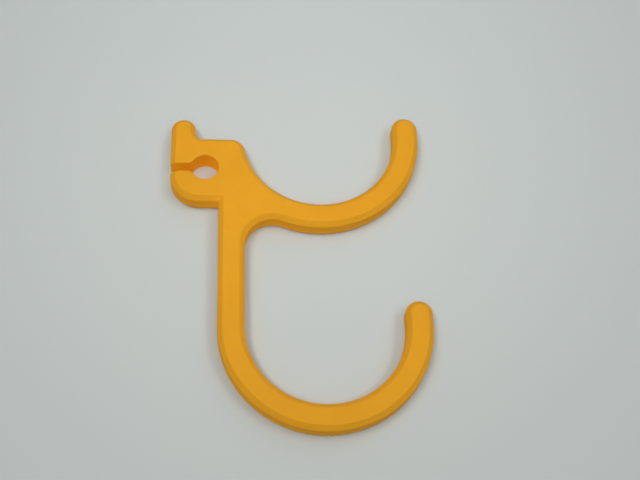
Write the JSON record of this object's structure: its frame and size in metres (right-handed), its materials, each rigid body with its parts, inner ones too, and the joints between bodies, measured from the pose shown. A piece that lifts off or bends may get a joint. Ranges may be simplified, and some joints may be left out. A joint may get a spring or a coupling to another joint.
{
  "type": "double pegboard hook",
  "caption": "Flat printed hook for a slotted board: a springy head with a rear prong enters the slot, and a stem carries an upper and a lower round cradle.",
  "frame": {"origin": "middle of the board's slot, in the plane of the board's front face, at half the hook's thickness", "axes": "the hook lies flat: +X away from the board, towards the tips; +Y up as the hook hangs; +Z through its thickness"},
  "size_m": [0.0529, 0.0694, 0.005],
  "materials": {
    "orange_plastic": "satin printed plastic"
  },
  "bodies": {
    "root": {"hook": "orange_plastic"}
  },
  "joints": []
}
